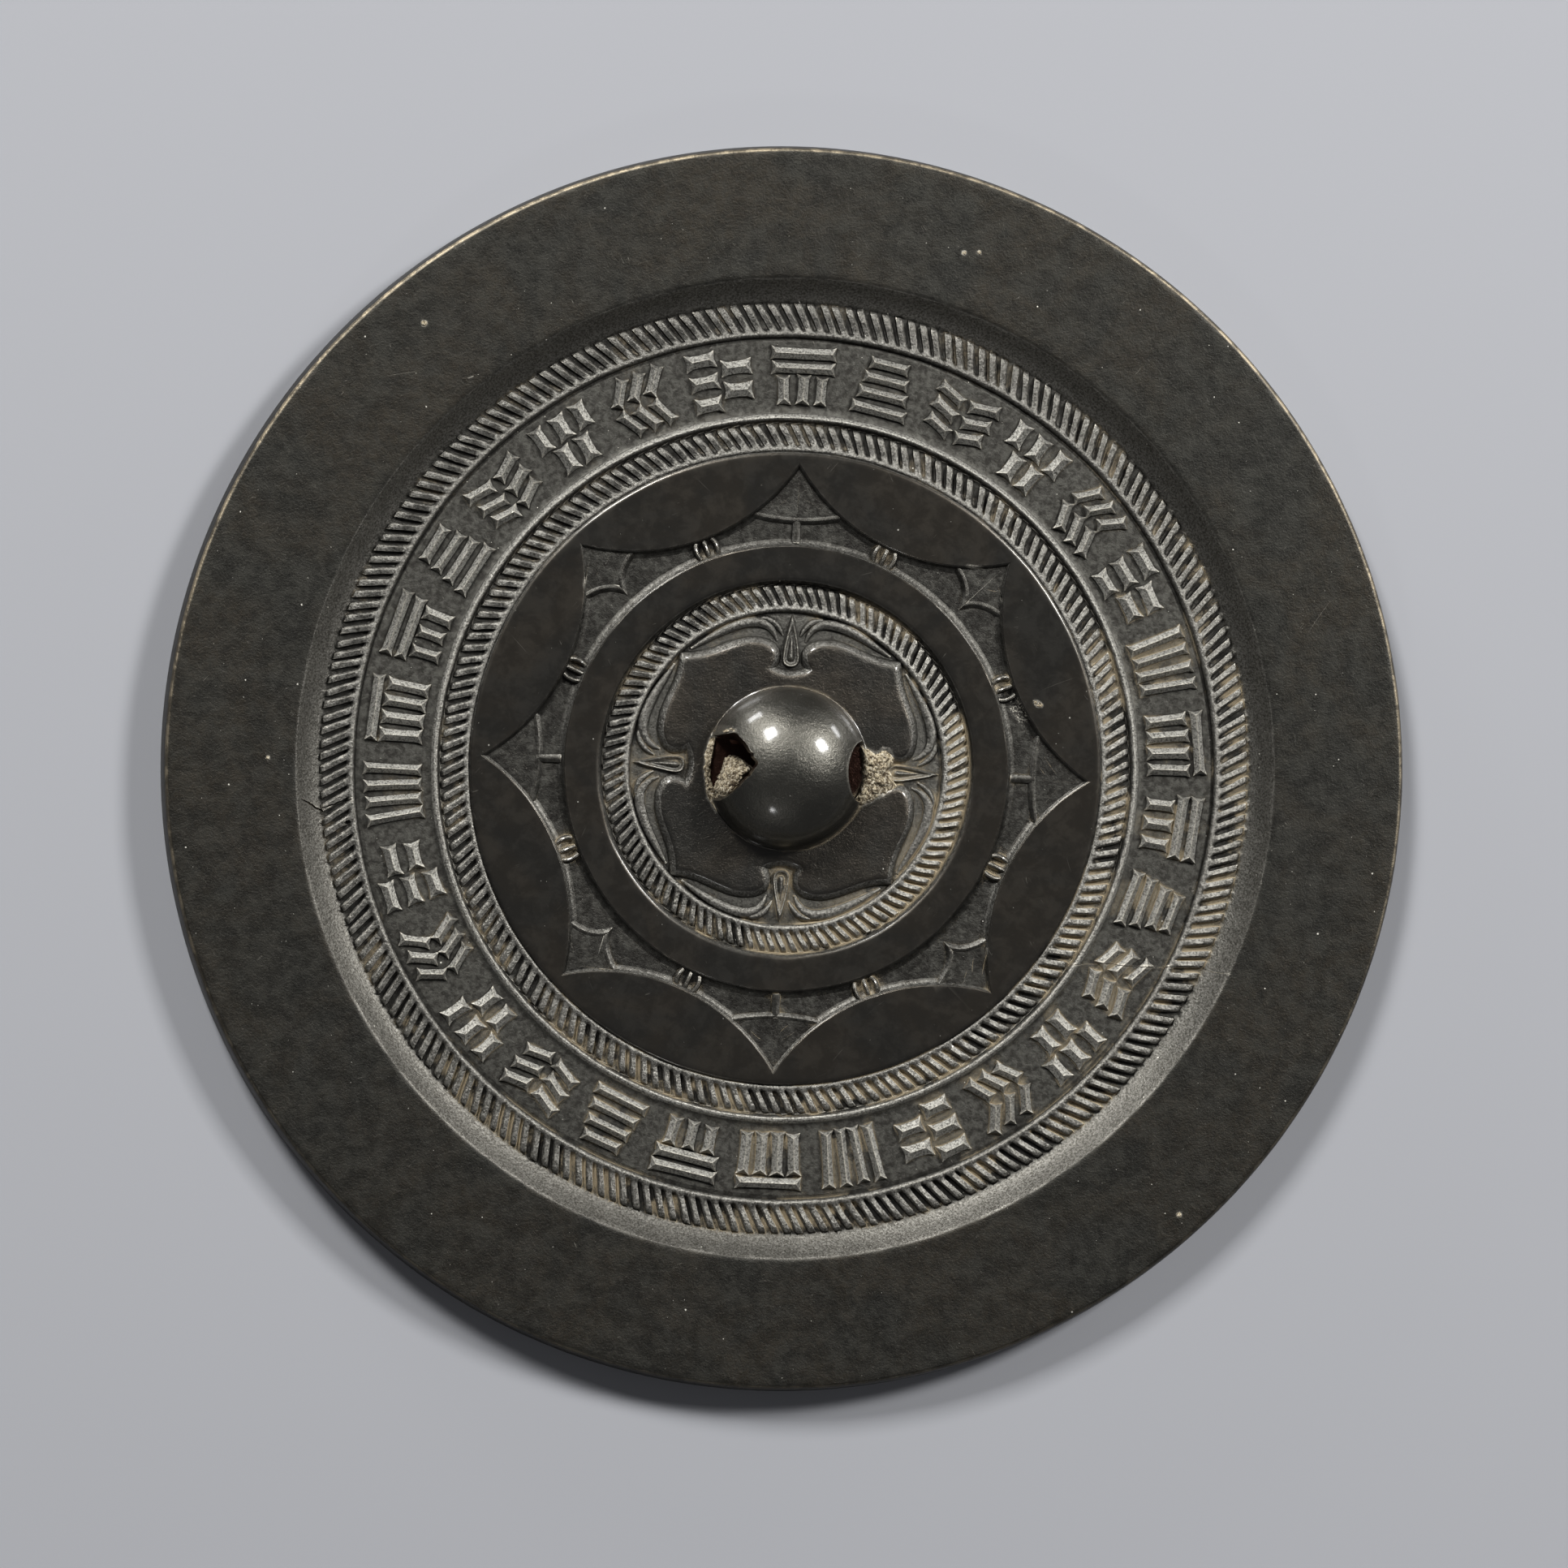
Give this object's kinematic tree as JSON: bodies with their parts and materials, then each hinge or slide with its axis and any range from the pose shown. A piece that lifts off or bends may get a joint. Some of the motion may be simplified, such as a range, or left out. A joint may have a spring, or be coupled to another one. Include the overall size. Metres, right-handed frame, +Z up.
{
  "type": "bronze mirror",
  "caption": "Round cast bronze mirror lying on its reflecting face, back up: plain rim, comb bands, stroke band, linked arcs, leafy calyx and a domed knob with a cord hole.",
  "frame": {"origin": "centre of the flat reflecting face, which the mirror lies on", "axes": "+Z up out of the decorated back through the knob, X along the knob's cord hole with the worn mouth at -X, +Y towards the ornament's upper side"},
  "size_m": [0.156, 0.156, 0.0115],
  "materials": {
    "bronze": "dark patinated cast bronze, satin"
  },
  "bodies": {
    "root": {"mirror": "bronze"}
  },
  "joints": []
}
